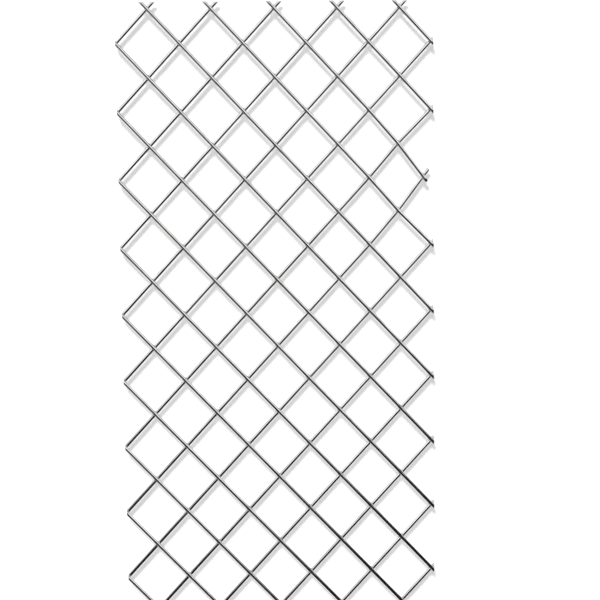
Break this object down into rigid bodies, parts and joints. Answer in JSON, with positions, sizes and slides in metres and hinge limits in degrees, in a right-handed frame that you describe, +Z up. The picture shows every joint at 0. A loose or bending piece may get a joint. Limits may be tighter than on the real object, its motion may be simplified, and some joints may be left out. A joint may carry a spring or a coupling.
{
  "type": "welded wire mesh panel",
  "caption": "Flat welded wire mesh panel in a diamond pattern: round steel wires in two crossed layers, welded where they cross, sheared straight at the ends, one edge corner pushed in.",
  "frame": {"origin": "middle of the underside: the centre of the sheet's outline, on the plane that the lower wires rest on", "axes": "+Z up through the sheet, +Y along its length, +X across its width towards the edge with the pushed-in corner"},
  "size_m": [0.3432, 1.0046, 0.0084],
  "materials": {
    "steel_wire": "bright zinc-coated drawn wire, satin, grey weld spots"
  },
  "bodies": {
    "root": {"wire_mesh_panel": "steel_wire"}
  },
  "joints": []
}
